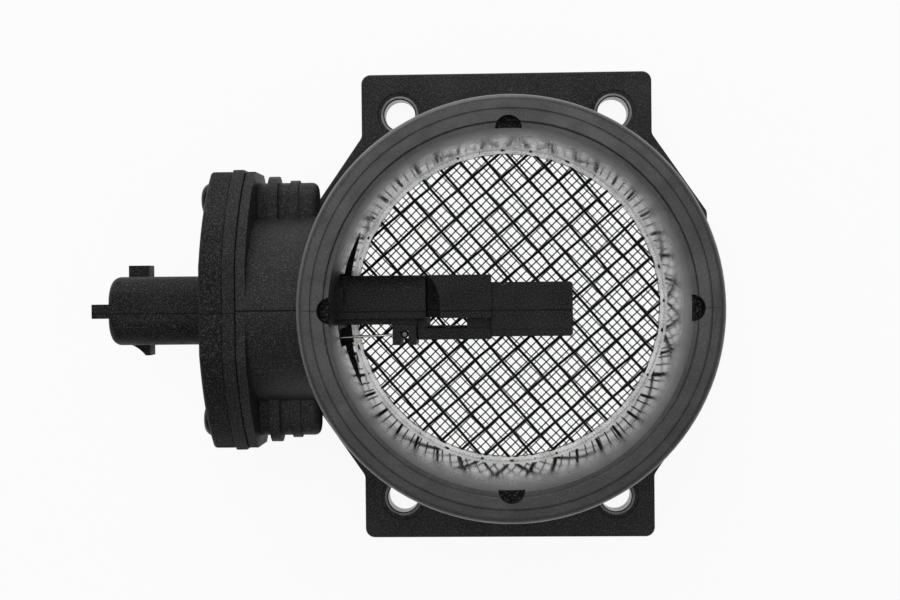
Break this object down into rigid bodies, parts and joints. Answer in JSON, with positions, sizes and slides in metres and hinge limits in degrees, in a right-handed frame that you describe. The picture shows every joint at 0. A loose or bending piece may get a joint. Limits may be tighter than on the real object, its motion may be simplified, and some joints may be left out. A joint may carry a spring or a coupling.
{
  "type": "mass airflow sensor",
  "caption": "Mass airflow sensor: flanged air tube with hose bead and wire screens, and a plug-in measuring arm with a side connector.",
  "frame": {"origin": "on the air tube's axis, at the mounting face of the flange", "axes": "+Z along the air tube towards the hose end, -X towards the connector, Y along the longer side of the flange"},
  "size_m": [0.1351, 0.109, 0.058],
  "materials": {
    "housing_nylon": "moulded glass-filled nylon, satin outside and glossy in the bore",
    "ring_nylon": "moulded nylon, glossy",
    "ring_steel": "turned stainless steel, bright",
    "module_plastic": "moulded glass-filled polyester, fine matt grain",
    "cover_plastic": "moulded glass-filled polyester, matt",
    "cap_plastic": "moulded glass-filled polyester, fine matt grain",
    "seal_rubber": "moulded nitrile rubber",
    "coarse_wire": "drawn stainless wire, woven",
    "fine_wire": "drawn stainless wire, woven",
    "bush_steel": "turned steel, zinc plated",
    "plate_steel": "stamped sheet steel",
    "circuit_ceramic": "fired alumina ceramic",
    "element_silicon": "polished silicon",
    "bead_glass": "fused dark glass",
    "lead_wire": "tinned wire, bright",
    "screw_steel": "blackened steel",
    "terminal_tin": "tin-plated bronze"
  },
  "bodies": {
    "root": {"housing": "housing_nylon", "mounting_bushes": "bush_steel", "flange_seal": "seal_rubber", "coarse_screen": "coarse_wire", "screen_spacer": "ring_nylon", "fine_screen": "fine_wire", "screen_retainer": "ring_steel", "sensor_body": "module_plastic", "plug_seal": "seal_rubber", "electronics_cover": "cover_plastic", "channel_cover": "cover_plastic", "base_plate": "plate_steel", "hybrid_circuit": "circuit_ceramic", "flow_element": "element_silicon", "thermistor_bead": "bead_glass", "thermistor_leads": "lead_wire", "connector_cap": "cap_plastic", "cap_screws": "screw_steel", "terminal_1": "terminal_tin", "terminal_2": "terminal_tin", "terminal_3": "terminal_tin", "terminal_4": "terminal_tin", "terminal_5": "terminal_tin"}
  },
  "joints": []
}
